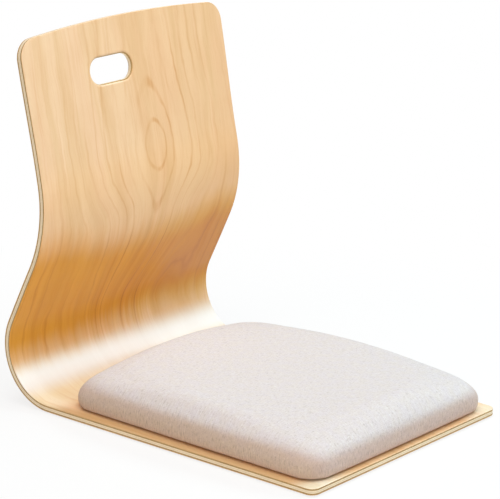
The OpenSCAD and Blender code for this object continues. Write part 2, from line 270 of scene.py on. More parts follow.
def sideLine(y, z):
    # Half width of the sheet: the seat's flare seen from above, and the back's waist seen square on
    seat = np.minimum(sheet["frontWidth"] / 2 + flare * (y + depthOfChair / 2), halfHeel)
    rise = (y - lumbarY) * math.cos(upperAngle) + (z - lumbarZ) * math.sin(upperAngle)
    toWaist = ease((rise + sheet["waistStart"]) / (sheet["waistRise"] + sheet["waistStart"]))
    toTop = ease((rise - sheet["waistRise"]) / (cornerRise - sheet["waistRise"]))
    low = halfHeel + (halfWaist - halfHeel) * toWaist
    high = halfWaist + (halfTop - halfWaist) * toTop
    return np.minimum(seat, np.where(rise < sheet["waistRise"], low, high))


def handFlare(depth):
    # The hand hole's edge is a quarter circle at each face: how much wider the hole is at a depth
    reach = max(0.0, sheet["handRound"] - min(depth, sheet["thickness"] - depth))
    return sheet["handRound"] - math.sqrt(sheet["handRound"] ** 2 - reach ** 2)


def sheetHoles(headRadius, inset, depth):
    # The hand hole and the four screw holes: x, s, half of the straight side, radius, zone below and above
    hand = (sheet["handX"], lumbarEnd + sheet["handRise"], sheet["handSide"],
            sheet["handRadius"] + handFlare(depth), sheetMesh["handZone"], cornerRise - sheet["handRise"])
    radius, zone = headRadius + inset, sheetMesh["screwZone"]
    return [hand] + [(x, s, 0.0, radius, zone, zone) for s in sheet["screwRows"]
                     for x in (-sheet["screwX"], sheet["screwX"])]


def gridColumns(holes):
    # Every column's x: the given ones, and those that meet each hole at even turns
    edge = np.array(sheetMesh["edgeColumns"])
    handShares = np.linspace(-1, 1, sheetMesh["handColumns"])[1:-1]
    across = [sheetMesh["columns"], sheet["handX"] + handShares * sheet["handSide"], edge, -edge]
    for x, s, side, radius, below, above in holes:
        reach = side + radius * np.sin(np.radians(sheetMesh["holeTurns"]))
        across += [x + reach, x - reach]
    return np.unique(np.round(np.concatenate(across), 9))


def gridRows(holes):
    # Every row's s between the front and the top corners: even runs, and closer ones at the slits, two at each slit
    share, zone = np.array(sheetMesh["slitShares"]), sheetMesh["screwZone"]

    def between(low, high, count):
        return np.linspace(low, high, count)[1:-1]

    def atSlit(x, s, side, radius, below, above):
        return np.concatenate([s - below * share, s + above * share[::-1]])

    hand, front, rear = holes[0], holes[1], holes[3]
    return np.concatenate([
        between(sheet["frontRound"], front[1] - zone, sheetMesh["frontRows"]), atSlit(*front),
        between(front[1] + zone, rear[1] - zone, sheetMesh["seatRows"]), atSlit(*rear),
        between(rear[1] + zone, seatEnd, sheetMesh["rearRows"]),
        np.linspace(seatEnd, heelEnd, sheetMesh["heelRows"]),
        between(heelEnd, lowerEnd, sheetMesh["lowerRows"]),
        np.linspace(lowerEnd, lumbarEnd, sheetMesh["lumbarRows"]),
        between(lumbarEnd, hand[1] - sheetMesh["handZone"], sheetMesh["upperRows"]), atSlit(*hand)])


def sheetGrid(headRadius, inset, depth):
    # Grid of x and s, opened to slits at the holes. A row near a hole keeps its distance t from the slit
    # as t + h(x) * (1 - t / zone), where h(x) is half the height of the hole at x
    holes = sheetHoles(headRadius, inset, depth)
    across, middle = gridColumns(holes), gridRows(holes)
    frontRound, topRound = sheet["frontRound"] - inset, sheet["topRound"] - inset
    swing = np.linspace(0, np.pi / 2, sheetMesh["cornerRows"])
    lean = math.atan2(cornerRise - archCentre, topCorner)
    climb = np.linspace(0, lean, sheetMesh["cornerRows"])[1:]
    s = np.concatenate([sheet["frontRound"] - frontRound * np.cos(swing), middle,
                        lumbarEnd + cornerRise + topRound * np.sin(climb)])
    y, z = sheetPlace(middle, depth)
    half = np.concatenate([frontCorner + frontRound * np.sin(swing), sideLine(y, z) - inset,
                           topCorner + topRound * np.cos(climb)])
    rising = np.concatenate([np.zeros(len(swing) + len(middle)), ease(climb / lean)])

    # Columns stay straight across the holes and take up the change of width beside them
    straight = sheetMesh["straight"]
    outer = np.maximum(np.abs(across) - straight, 0) / (across[-1] - straight)
    x = np.clip(across, -straight, straight)[None] + np.sign(across)[None] * outer[None] * (half[:, None] - straight)
    arch = np.sqrt((archRadius - inset) ** 2 - x ** 2)
    sGrid = s[:, None] + rising[:, None] * (arch - arch[:, :1])
    slitRows = set()
    for holeX, slit, side, radius, below, above in holes:
        first = int(np.flatnonzero(np.abs(s - slit) < sheetMesh["sameRow"])[0])
        slitRows.add(first)
        over = np.clip(np.abs(x - holeX) - side, 0, radius)
        tall = np.sqrt(np.maximum(radius ** 2 - over ** 2, 0))
        tall[np.abs(x - holeX) > side + radius - sheetMesh["sharedPoint"]] = 0
        way = np.where(np.arange(len(s)) <= first, -1.0, 1.0)[:, None]
        zone = np.where(way < 0, below, above)
        gap = np.abs(s - slit)[:, None]
        sGrid = sGrid + np.where(gap <= zone + sheetMesh["sameRow"], way * tall * (1 - gap / zone), 0)
    y, z = sheetPlace(sGrid, depth)
    return np.stack([x, y, z], -1), np.stack([x, sGrid, np.full_like(x, depth)], -1), slitRows


def veneerPiece(name, headRadius, outside, inside, material):
    # The outer face, a rounded arris of five rings and the inner face, joined round every edge and hole
    arris, sign = sheet["arris"], np.sign(inside - outside)
    turn = np.radians(sheetMesh["arrisTurns"])
    layers = [(arris * (1 - math.sin(t)), outside + sign * arris * (1 - math.cos(t))) for t in turn] + [(0.0, inside)]
    grids = [sheetGrid(headRadius, inset, depth) for inset, depth in layers]
    points, grain = (np.concatenate([g[k].reshape(-1, 3) for g in grids]) for k in (0, 1))
    outer, slitRows = grids[0][0], grids[0][2]
    rows, columns = outer.shape[:2]
    count = rows * columns

    # Two rows meet at a slit: they share their points where it is closed, and have no faces between them
    index = np.arange(count).reshape(rows, columns)
    closed = np.abs(outer - np.roll(outer, -1, axis=0)).max(-1) < sheetMesh["sharedPoint"]
    for row in slitRows:
        index[row + 1, closed[row]] = index[row, closed[row]]
    strips = [row for row in range(rows - 1) if row not in slitRows]
    a, b = index[strips], index[[row + 1 for row in strips]]
    quads = np.stack([a[:, :-1], a[:, 1:], b[:, 1:], b[:, :-1]], -1).reshape(-1, 4)

    # An edge that no second face runs the other way lies on the rim, where the walls stand
    edges = np.concatenate([quads[:, [k, (k + 1) % 4]] for k in range(4)])
    code, back = edges[:, 0] * count + edges[:, 1], edges[:, 1] * count + edges[:, 0]
    rim = edges[~np.isin(code, back)]
    walls = [np.stack([rim[:, 1], rim[:, 0], rim[:, 0] + count, rim[:, 1] + count], -1) + k * count
             for k in range(len(layers) - 1)]
    faces = np.concatenate([quads, *walls, quads[:, ::-1] + (len(layers) - 1) * count])
    if sign < 0:
        faces = faces[:, ::-1]
    used, faces = np.unique(faces, return_inverse=True)
    piece = makePiece(name, points[used], faces.reshape(-1, 4).tolist(), material)
    setAttribute(piece, "grain", grain[used])
    return piece


# Wood: the "grain" attribute is x across, s along the fibres, and the depth. A ramp is two places on a scale and
# what they become, 0 and 1 where nothing else is said

figure = {
    "x": 0.028, "s": 0.833, "reachUp": 0.055, "reachDown": 0.050, "lengthUp": 0.095, "lengthDown": 0.075,
    "ring": 0.018, "phase": 0.389,  # how far apart the rings are, and where the first one starts
    "wander": 0.045, "wanderScale": (5.0, 1.3, 1), "waver": 0.016, "waverScale": (24, 11, 1),
    "squeeze": 0.030, "squeezeAlong": (0.803, 0.733),  # below the eye the lines on both sides draw together
    "leftLines": (-0.23, -0.09, -0.09, 0.0), "rightLines": (-0.02, 0.05, 0.06, 0.15),
    "lean": (0.70, 0.57, 0.0, 0.045), "leaningLines": (-0.09, -0.01, 0.06, 0.14),
    "line": (0.02, 0.14, 1.0, 0.0), "heart": (0.010, 0.017),  # half width of a line; none in the eye's heart
    "strength": (0.36, 0.58, 0.20, 1.0), "strengthScale": (7.31, 5, 1), "sideStep": 40.0,
    "faint": (0.07, 0.15, 1.0, 0.40),
}


def eyeFigure(tree, grain, look, shift):
    # Cat's eye: r = sqrt(x^2 + c^2 u^2 / (1 + u^2)) from its centre, u being the way along the sheet over the eye's
    # length and c its reach; rings of even r close round the centre and run straight far from it. Each ring has its
    # own strength on each side, and those far out are faint
    x, s, depth = splitVector(tree, grain)
    wander = minus(tree, noise(tree, grain, look["wanderScale"], shift, 1.5, 0.4), 0.5)
    waver = minus(tree, noise(tree, grain, look["waverScale"], shift, 3.0, 0.6), 0.5)
    x = minus(tree, x, look["x"])
    beside = minus(tree, hill(tree, x, *look["rightLines"]), hill(tree, x, *look["leftLines"]))
    squeeze = times(tree, spread(tree, s, *look["squeezeAlong"]), times(tree, beside, look["squeeze"]))
    lean = times(tree, hill(tree, x, *look["leaningLines"]), spread(tree, s, *look["lean"]))
    x = plus(tree, x, squeeze, lean, times(tree, wander, look["wander"]), times(tree, waver, look["waver"]))
    along = minus(tree, s, look["s"])
    up = mathNode(tree, "DIVIDE", mathNode(tree, "MAXIMUM", along, 0.0), look["lengthUp"])
    down = mathNode(tree, "DIVIDE", mathNode(tree, "MINIMUM", along, 0.0), look["lengthDown"])
    pull = 0.0
    for u, reach in ((up, look["reachUp"]), (down, look["reachDown"])):
        square = times(tree, u, u)
        share = mathNode(tree, "DIVIDE", square, plus(tree, square, 1.0))
        pull = plus(tree, times(tree, share, reach ** 2), pull)
    r = mathNode(tree, "SQRT", plus(tree, times(tree, x, x), pull))
    rings = plus(tree, mathNode(tree, "DIVIDE", r, look["ring"]), look["phase"])
    number = plus(tree, mathNode(tree, "FLOOR", rings), times(tree, mathNode(tree, "SIGN", x), look["sideStep"]))
    strength = noise(tree, joinVector(tree, number, s), look["strengthScale"], shift, 1.0)
    strength = times(tree, spread(tree, strength, *look["strength"]), spread(tree, r, *look["faint"]))
    offLine = mathNode(tree, "ABSOLUTE", minus(tree, mathNode(tree, "FRACT", rings), 0.5))
    line = times(tree, spread(tree, offLine, *look["line"]), spread(tree, r, *look["heart"]), strength)
    return line, joinVector(tree, x, s, depth)


veneerLook = {
    "pale": colour(0.915, 0.633, 0.388),
    "tan": (colour(0.850, 0.558, 0.305), (0.38, 0.60)),
    "pink": (colour(0.895, 0.585, 0.350), (0.45, 0.66, 0.0, 0.7)),
    "patch": (colour(0.965, 0.935, 0.90), (0.42, 0.62, 0.0, 0.6)),
    "line": (colour(0.895, 0.755, 0.600), (0.50, 0.74, 0.0, 0.38)),
    "fineLine": (colour(0.895, 0.755, 0.600), (0.46, 0.72, 0.0, 0.30)),
    "fibre": (colour(0.89, 0.82, 0.74), (0.60, 0.74, 0.0, 0.45)),
    "drawn": colour(0.875, 0.720, 0.550), "broken": (0.30, 0.70, 0.35, 1.0),  # the eye's lines break into strokes
    "bend": (0.44, 0.49, 0.525, 0.550), "inBend": (0.0, 1.0, 1.0, 0.4),  # and are fainter in the heel bend
    "roughness": 0.38, "roughnessRamp": (0.3, 0.7), "smoother": 0.05, "rougher": 0.06,
    "coat": 0.35, "coatRoughness": 0.30, "coatIndex": 1.55, "specular": 0.30,
    "waveRelief": (0.0010, 0.30), "lineRelief": (0.0003, 0.12), "fineRelief": (0.00010, 0.30),
    "scales": {  # across, along and into the sheet
        "broad": (30, 2.2, 1), "second": (20, 3.0, 1), "medium": (150, 4.0, 1), "patches": (26, 12, 1),
        "fine": (620, 9, 1), "fibres": (900, 75, 1), "waves": (60, 7, 1),
    },
}

# Tints of the sitter's face for the light that the lamps alone don't give it: a colour each, and the places along s
# and across x where it comes and goes
sitterLight = {
    "far": colour(0.965, 0.905, 0.815), "farAcross": (-0.14, 0.08), "farAlong": (0.42, 0.47),
    # Painted highlight at the start of the heel bend: lighter, whiter wood and a milky blend over it
    "seatEnd": colour(1.05, 1.25, 1.45), "seatEndAlong": (0.42, 0.46, 0.516, 0.550),
    "paintedGloss": colour(0.945, 0.872, 0.840), "paintedGlossAlong": (0.478, 0.510, 0.516, 0.550), "paintedGlossShare": 0.8,
    "seat": (colour(0.97, 0.93, 0.84), (0.44, 0.38)),
    # Painted highlight, near white, on both front corners of the seat
    "corner": colour(1.10, 1.50, 2.15), "cornerAcross": (0.11, 0.18), "cornerAlong": (0.045, 0.010),
    "cornerSides": (-0.1, 0.1, 1.0, 0.65),
    # Painted shade on the strip of seat beside the pad's near side
    "marginShade": colour(0.87, 0.87, 0.82), "marginAcross": (-0.187, -0.193), "marginAlong": (0.02, 0.07, 0.43, 0.46),
    # Painted warm bounce light in the lumbar bend
    "lumbar": colour(1.05, 1.01, 0.92), "lumbarAlong": (0.69, 0.74, 0.78, 0.86),
    # Painted shade, deeper and more orange, in the heel and the lower back, deeper still on the far side, with darker
    # lines in it
    "paintedShade": colour(0.885, 0.582, 0.10), "paintedShadeStart": (0.518, 0.572), "paintedShadeEnd": (0.693, 0.768, 1.0, 0.0),
    "startRises": (-0.12, 0.12, 0.003, 0.024), "endFalls": (-0.16, -0.04, 0.0, 0.026),
    "endRises": (0.08, 0.16, 0.0, 0.014),
    "streaks": 0.030, "streakScale": (110, 3, 1), "streakShift": (2, 5, 0),
    "paintedShadeFar": colour(0.92, 0.835, 0.08), "paintedShadeFarAcross": (-0.06, 0.10),
    "paintedShadeLine": colour(0.84, 0.76, 0.58),
}


def lightOnWood(tree, base, grain, along, drawn, light):
    # Painted light and shade on the wood: painted shade makes the heel and the lower back deeper, a painted milky
    # highlight lies at the start of the heel bend, painted highlights lighten the seat's end and the front corners,
    # painted shade darkens the strip beside the pad, painted warm bounce light lies in the lumbar bend, and the seat
    # and far side are tinted yellower
    x, s, depth = splitVector(tree, grain)
    away = times(tree, spread(tree, x, *light["farAcross"]), spread(tree, s, *light["farAlong"]))
    base = stain(tree, base, away, light["far"])
    # Painted highlight: the seat's end and the start of the heel bend are lighter and whiter
    base = stain(tree, base, hill(tree, s, *light["seatEndAlong"]), light["seatEnd"])
    paintedGloss = times(tree, hill(tree, s, *light["paintedGlossAlong"]), light["paintedGlossShare"])
    base = blendColours(tree, paintedGloss, base, light["paintedGloss"])
    base = layer(tree, base, s, light["seat"])
    # Painted highlight on the front corners
    corner = times(tree, spread(tree, mathNode(tree, "ABSOLUTE", x), *light["cornerAcross"]),
                   spread(tree, s, *light["cornerAlong"]), spread(tree, x, *light["cornerSides"]))
    base = stain(tree, base, corner, light["corner"])
    # Painted shade beside the pad
    marginShade = times(tree, spread(tree, x, *light["marginAcross"]), hill(tree, s, *light["marginAlong"]))
    base = stain(tree, base, marginShade, light["marginShade"])
    # Painted warm bounce light in the lumbar bend
    base = stain(tree, base, hill(tree, s, *light["lumbarAlong"]), light["lumbar"])

    # The painted shade's ends aren't square to the sheet, and run out in streaks
    streaks = minus(tree, noise(tree, along, light["streakScale"], light["streakShift"], 3.0, 0.6), 0.5)
    s = plus(tree, s, times(tree, streaks, light["streaks"]))
    low = minus(tree, s, spread(tree, x, *light["startRises"]))
    high = minus(tree, plus(tree, s, spread(tree, x, *light["endFalls"])), spread(tree, x, *light["endRises"]))
    share = times(tree, spread(tree, low, *light["paintedShadeStart"]), spread(tree, high, *light["paintedShadeEnd"]))
    base = stain(tree, base, share, light["paintedShade"])
    base = stain(tree, base, times(tree, share, spread(tree, x, *light["paintedShadeFarAcross"])), light["paintedShadeFar"])
    return stain(tree, base, times(tree, share, drawn), light["paintedShadeLine"])


def veneerMaterial(name, look, shift, light=None):
    material, tree, shader = newMaterial(name)
    grain = attributeVector(tree, "grain")
    line, along = eyeFigure(tree, grain, figure, shift)
    scales = look["scales"]
    broad = noise(tree, along, scales["broad"], shift, 2.0, 0.5, 0.3)
    second = noise(tree, along, scales["second"], (shift[1], shift[0] + 7, 3))
    medium = noise(tree, along, scales["medium"], shift, 2.0, 0.55)
    patches = noise(tree, grain, scales["patches"], (9, 3, 0), 3.0, 0.6)
    fine = noise(tree, along, scales["fine"], shift, 2.0, 0.6)
    fibres = noise(tree, grain, scales["fibres"], shift)
    inBend = spread(tree, hill(tree, splitVector(tree, grain)["Y"], *look["bend"]), *look["inBend"])
    drawn = times(tree, line, spread(tree, medium, *look["broken"]), inBend)
    base = layer(tree, look["pale"], broad, look["tan"], "MIX")
    base = layer(tree, base, second, look["pink"], "MIX")
    base = layer(tree, base, patches, look["patch"])
    base = stain(tree, base, drawn, look["drawn"])
    base = layer(tree, base, medium, look["line"])
    base = layer(tree, base, fine, look["fineLine"])
    base = layer(tree, base, fibres, look["fibre"])
    if light:
        base = lightOnWood(tree, base, grain, along, drawn, light)
    relief = bump(tree, noise(tree, along, scales["waves"], shift, 1.0), *look["waveRelief"])
    relief = bump(tree, medium, *look["lineRelief"], relief)
    fillSockets(tree, shader, {
        "Base Color": base,
        "Roughness": spread(tree, medium, *look["roughnessRamp"], look["roughness"] - look["smoother"],
                            look["roughness"] + look["rougher"]),
        "Coat Weight": look["coat"],
        "Coat Roughness": look["coatRoughness"],
        "Coat IOR": look["coatIndex"],
        "Specular IOR Level": look["specular"],
        "Normal": bump(tree, fine, *look["fineRelief"], relief),
    })
    return material


plyLook = {  # nodes, darker and paler colour, scale of the pores
    "darkPly": (["core_ply_1", "core_ply_5"], colour(0.380, 0.205, 0.050), colour(0.520, 0.310, 0.095),
                (420, 420, 420)),
    "midPly": (["core_ply_3"], colour(0.820, 0.630, 0.410), colour(0.900, 0.720, 0.490), (420, 420, 420)),
    "lightPly": (["core_ply_2", "core_ply_4"], colour(0.930, 0.750, 0.510), colour(0.980, 0.810, 0.570),
                 (120, 120, 120)),
}
sawnEdge = {
    "patchScale": (24, 24, 24), "poreShare": 0.7, "patchShare": 0.3, "ramp": (0.34, 0.64),
    "roughness": 0.46, "coat": 0.2, "coatRoughness": 0.3, "relief": (0.0001, 0.4),
}


def plyMaterial(name, low, high, scale):
    # Sawn edge of a core ply: fine pores in the end grain, coarser ones in the long grain, and patches
    material, tree, shader = newMaterial(name)
    place = objectPlace(tree)
    pores = noise(tree, place, scale, (0, 0, 0), 3.0, 0.65)
    patches = noise(tree, place, sawnEdge["patchScale"], (3, 1, 2), 1.0)
    share = plus(tree, times(tree, pores, sawnEdge["poreShare"]), times(tree, patches, sawnEdge["patchShare"]))
    fillSockets(tree, shader, {
        "Base Color": blendColours(tree, spread(tree, share, *sawnEdge["ramp"]), low, high),
        "Roughness": sawnEdge["roughness"],
        "Coat Weight": sawnEdge["coat"],
        "Coat Roughness": sawnEdge["coatRoughness"],
        "Normal": bump(tree, pores, *sawnEdge["relief"]),
    })
    return material


faceVeneer = veneerPiece("sitterFace", sheet["shankHole"], 0.0, sheet["veneer"],
                         veneerMaterial("lacqueredVeneer", veneerLook, (4.0, 2.0, 0.0), sitterLight))
backVeneer = veneerPiece("backFace", sheet["headHole"], sheet["thickness"], sheet["thickness"] - sheet["veneer"],
                         veneerMaterial("backVeneer", veneerLook, (11.0, 6.5, 0.0)))
for piece, node in ((faceVeneer, "face_veneer"), (backVeneer, "back_veneer")):
    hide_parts(node)
    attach(piece, "root")
for name, (nodes, *look) in plyLook.items():
    dress(nodes, plyMaterial(name, *look))
print("shell built:", len(faceVeneer.data.polygons), "faces on the sitter's side")


# Cushion: its form, the cloth that swells over it, and its heather weave

cushion = {
    "size": (0.378, 0.429), "middle": 0.2215 - depthOfChair / 2,
    "floor": sheet["footHeight"] + sheet["thickness"] + 0.0006,  # on the dust cloth, 0.6 mm thick
    "cornerRound": 0.032, "height": 0.034, "crownAcross": 0.020, "crownAlong": 0.018, "crownFlat": 0.018,
    "shoulder": 0.028, "belly": 0.015, "tuck": 0.0034, "bow": 0.0022, "shrink": 0.0003,
    "cornerPoints": 13, "sidePoints": 24, "tuckRings": 9, "shoulderRings": 19, "crownRings": 20,
    "voxel": 0.0050, "pressure": 4.0, "frames": 20, "cap": 0.0040, "evening": 60,
    "held": 0.006, "quality": 6, "mass": 0.35, "stiffness": 18, "bending": 1.2,
    "weave": 0.00135, "sideShadeDrop": 0.006,
}


def cushionOutline(settings):
    # Four corner arcs joined by straight sides, which then bow out by a parabola along each side
    width, length = settings["size"]
    corner = settings["cornerRound"]
    turn = np.linspace(0, np.pi / 2, settings["cornerPoints"])
    arc = np.stack([width / 2 - corner + corner * np.cos(turn), length / 2 - corner + corner * np.sin(turn)], -1)
    flip = [(1, 1, 1), (-1, 1, -1), (-1, -1, 1), (1, -1, -1)]
    arcs = [(arc * [flipX, flipY])[::way] for flipX, flipY, way in flip]
    share = np.linspace(0, 1, settings["sidePoints"] + 2)[1:-1, None]
    sides = [arcs[k][-1] + (arcs[(k + 1) % 4][0] - arcs[k][-1]) * share for k in range(4)]
    outline = np.concatenate([part for k in range(4) for part in (arcs[k], sides[k])])
    bow = settings["bow"] * (1 - (2 * outline[:, ::-1] / [length, width]) ** 2) / [width / 2, length / 2]
    return outline * (1 + bow)


def cushionForm(settings):
    # Rounded outline times a scale for each ring. The wall's rings turn by the angle a from -90 at the foot to 90 at
    # the shoulder's inner edge, with cosine and sine giving the inset and height; the crown is two crossed parabolas
    width, length = settings["size"]
    shrink, height, belly = settings["shrink"], settings["height"], settings["belly"]
    acrossRise, alongRise, flat = settings["crownAcross"], settings["crownAlong"], settings["crownFlat"]
    wall = [np.linspace(-90, 0, settings["tuckRings"]), np.linspace(0, 90, settings["shoulderRings"])[1:]]
    angle = np.radians(np.concatenate(wall))
    draw = np.where(angle < 0, settings["tuck"], settings["shoulder"])
    scale = 1 - (shrink + draw * (1 - np.cos(angle))) / (width / 2)
    crown = np.linspace(1, 0, settings["crownRings"] + 2)[1:-1]
    scale = np.concatenate([scale, scale[-1] * crown])
    angle = np.concatenate([angle, np.full(len(crown), np.pi / 2)])
    ring = cushionOutline(settings)[None] * scale[:, None, None]
    u, v = 1 - (2 * ring[..., 0] / width) ** 2, 1 - (2 * ring[..., 1] / length) ** 2
    top = height - shrink + acrossRise * u + alongRise * v - flat * u * v
    rise = np.sin(angle)[:, None]
    z = np.where(rise < 0, shrink + (belly - shrink) * (1 + rise), belly + (top - belly) * rise)
    points = np.concatenate([ring, z[..., None]], -1).reshape(-1, 3)
    crest = height - shrink + acrossRise + alongRise - flat
    points = np.concatenate([points, [[0, 0, crest], [0, 0, shrink]]]) + [0, settings["middle"], settings["floor"]]
    return points, ringFaces(*ring.shape[:2])


def ringFaces(rows, columns):
    # Quads between closed rings, then a fan to a point over the last ring and one to a point under the first
    index = np.arange(rows * columns).reshape(rows, columns)
    beside = np.roll(index, -1, axis=1)
    quads = np.stack([index[:-1], beside[:-1], beside[1:], index[1:]], -1).reshape(-1, 4).tolist()
    over = [(int(a), int(b), rows * columns) for a, b in zip(index[-1], beside[-1])]
    under = [(int(b), int(a), rows * columns + 1) for a, b in zip(index[0], beside[0])]
    return quads + over + under


def places(mesh):
    co = np.zeros(len(mesh.vertices) * 3)
    mesh.vertices.foreach_get("co", co)
    return co.reshape(-1, 3)


def normals(mesh):
    no = np.zeros(len(mesh.vertices) * 3)
    mesh.vertex_normals.foreach_get("vector", no)
    return no.reshape(-1, 3)


def applyModifiers(piece):
    graph = bpy.context.evaluated_depsgraph_get()
    mesh = bpy.data.meshes.new_from_object(piece.evaluated_get(graph))
    piece.modifiers.clear()
    old, piece.data = piece.data, mesh
    bpy.data.meshes.remove(old)


def blowUp(piece, settings):
    # Cloth under pressure, held at the foot
    held = piece.vertex_groups.new(name="held")
    foot = settings["floor"] + settings["held"]
    held.add([int(i) for i in np.flatnonzero(places(piece.data)[:, 2] < foot)], 1.0, "REPLACE")
    cloth = piece.modifiers.new("cloth", "CLOTH")
    cloth.settings.quality = settings["quality"]
    cloth.settings.mass = settings["mass"]
    cloth.settings.tension_stiffness = cloth.settings.compression_stiffness = settings["stiffness"]
    cloth.settings.bending_stiffness = settings["bending"]
    cloth.settings.vertex_group_mass = "held"
    cloth.settings.use_pressure = True
    cloth.settings.uniform_pressure_force = settings["pressure"]
    cloth.settings.effector_weights.gravity = 0
    cloth.collision_settings.use_collision = False
    cloth.point_cache.frame_start, cloth.point_cache.frame_end = 1, settings["frames"]
    for step in range(1, settings["frames"] + 1):
        bpy.context.scene.frame_set(step)
    applyModifiers(piece)
    bpy.context.scene.frame_set(1)


def swell(piece, settings):
    # Each point keeps the outward part of its way in the blown cloth, evened out over its neighbours so that no dent
    # is left, and none moves past the cap
    remesh = piece.modifiers.new("remesh", "REMESH")
    remesh.mode, remesh.voxel_size = "VOXEL", settings["voxel"]
    applyModifiers(piece)
    before, outward = places(piece.data), normals(piece.data)
    blowUp(piece, settings)
    way = np.maximum(((places(piece.data) - before) * outward).sum(1), 0)
    ends = np.zeros(len(piece.data.edges) * 2, np.int32)
    piece.data.edges.foreach_get("vertices", ends)
    a, b = ends.reshape(-1, 2).T
    count = np.bincount(ends, minlength=len(way))
    for step in range(settings["evening"]):
        total = np.bincount(a, way[b], len(way)) + np.bincount(b, way[a], len(way))
        way = 0.5 * way + 0.5 * total / count
    way = np.minimum(way, settings["cap"])
    piece.data.vertices.foreach_set("co", (before + outward * way[:, None]).ravel())
    finer = piece.modifiers.new("finer", "SUBSURF")
    finer.levels = finer.render_levels = 1
    applyModifiers(piece)
    mean, most = (round(1000 * float(value), 2) for value in (way.mean(), way.max()))
    print("cushion swollen: mean", mean, "mm, most", most, "mm")


def clothCoordinates(piece, settings):
    # The cloth as if laid flat: the wall's drop is added to x and y, shared by the cubes of how much the wall faces
    # each way. Then how much a point faces to the side and to the front or back, and its drop, more on the sides;
    # the drop sets the painted shade down the walls
    co, no = places(piece.data), normals(piece.data)
    crown = settings["floor"] + settings["height"]
    drop = np.maximum(crown - co[:, 2], 0)
    flat = np.abs(no[:, :2]) ** 3 / np.maximum((np.abs(no[:, :2]) ** 3).sum(1, keepdims=True), 1e-9)
    fromMiddle = co[:, :2] - [0, settings["middle"]]
    laid = fromMiddle + np.sign(fromMiddle) * flat * drop[:, None]
    facing = [flat * (1 - np.abs(no[:, 2:])), crown - co[:, 2:] + settings["sideShadeDrop"] * flat[:, :1]]
    return np.concatenate([laid, drop[:, None]], 1), np.concatenate(facing, 1)


paleYarn, darkYarn = colour(0.930, 0.900, 0.885), colour(0.480, 0.410, 0.370)
coverLook = {
    "warm": colour(0.805, 0.728, 0.700),
    "cool": (colour(0.798, 0.724, 0.730), (0.38, 0.62)),
    "paleYarn": (paleYarn, (0.52, 0.70, 0.0, 0.75)), "darkYarn": (darkYarn, (0.48, 0.30, 0.0, 0.60)),
    "paleFleck": (paleYarn, (0.54, 0.70, 0.0, 0.75)), "darkFleck": (darkYarn, (0.45, 0.29, 0.0, 0.50)),
    # Painted shade in the dips between the yarns
    "gap": (darkYarn, (0.0, 0.7, 0.25, 0.0)),  # the dips between the yarns
    # Painted shade on the walls: browner on the sides than at the front and back, coming in over the first part of the
    # drop
    "side": colour(0.838, 0.692, 0.540), "front": colour(0.86, 0.715, 0.63), "wall": (-0.002, 0.014),
    "yarnFine": 520, "yarnLong": 120, "fleckScale": (400, 400, 1), "tintScale": (70, 70, 1),
    "over": (-0.25, 0.25), "yarnRelief": 0.8, "relief": (0.00035, 0.7),
    "roughness": 0.92, "specular": 0.2, "sheen": 0.25, "sheenRoughness": 0.5,
}


def coverMaterial(look, pitch):
    # Plain weave: warp and weft are sines across each other, and their product says which one lies over
    material, tree, shader = newMaterial("heatherCloth")
    laid = attributeVector(tree, "laid")
    acrossWall, alongWall, drop = splitVector(tree, attributeVector(tree, "facing"))
    parts = splitVector(tree, laid)
    waves = [mathNode(tree, "SINE", times(tree, parts[k], math.pi / pitch)) for k in ("X", "Y")]
    warp, weft = (mathNode(tree, "ABSOLUTE", wave) for wave in waves)
    over = spread(tree, times(tree, *waves), *look["over"])
    height = plus(tree, times(tree, warp, over), times(tree, weft, minus(tree, 1.0, over)))

    # Heather: each yarn changes shade along its length, the warp one way and the weft the other, with flecks among
    # them; on a wall the yarns that run down it show more, as streaks
    warpShade = noise(tree, laid, (look["yarnFine"], look["yarnLong"], 1), (0, 0, 0), 2.0, 0.6)
    weftShade = noise(tree, laid, (look["yarnLong"], look["yarnFine"], 1), (5, 9, 0), 2.0, 0.6)
    share = plus(tree, times(tree, minus(tree, alongWall, acrossWall), 0.5), 0.5)
    yarn = blendColours(tree, share, weftShade, warpShade)
    fleck = noise(tree, laid, look["fleckScale"], (3, 8, 0), 3.0, 0.75)
    tint = noise(tree, laid, look["tintScale"], (2, 4, 0), 3.0, 0.6)
    base = layer(tree, look["warm"], tint, look["cool"], "MIX")
    for pattern, name in [(yarn, "paleYarn"), (yarn, "darkYarn"), (fleck, "paleFleck"), (fleck, "darkFleck"),
                          (height, "gap")]:
        base = layer(tree, base, pattern, look[name], "MIX")
    # Painted shade on the walls, browner on the sides than at the front and back
    paintedWallShade = blendColours(tree, acrossWall, look["front"], look["side"])
    raised = plus(tree, height, times(tree, yarn, look["yarnRelief"]))
    fillSockets(tree, shader, {
        "Base Color": stain(tree, base, spread(tree, drop, *look["wall"]), paintedWallShade),
        "Roughness": look["roughness"],
        "Specular IOR Level": look["specular"],
        "Sheen Weight": look["sheen"],
        "Sheen Roughness": look["sheenRoughness"],
        "Normal": bump(tree, raised, *look["relief"]),
    })
    return material


seatPad = makePiece("seatPad", *cushionForm(cushion), coverMaterial(coverLook, cushion["weave"]))
swell(seatPad, cushion)
seatPad.data.polygons.foreach_set("use_smooth", np.full(len(seatPad.data.polygons), True))
for name, vectors in zip(("laid", "facing"), clothCoordinates(seatPad, cushion)):
    setAttribute(seatPad, name, vectors)
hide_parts("pad_cover")
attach(seatPad, "root")
print("cushion built:", len(seatPad.data.polygons), "faces")


# Felt feet: a disc with a soft edge, turned on a grid of angle and profile

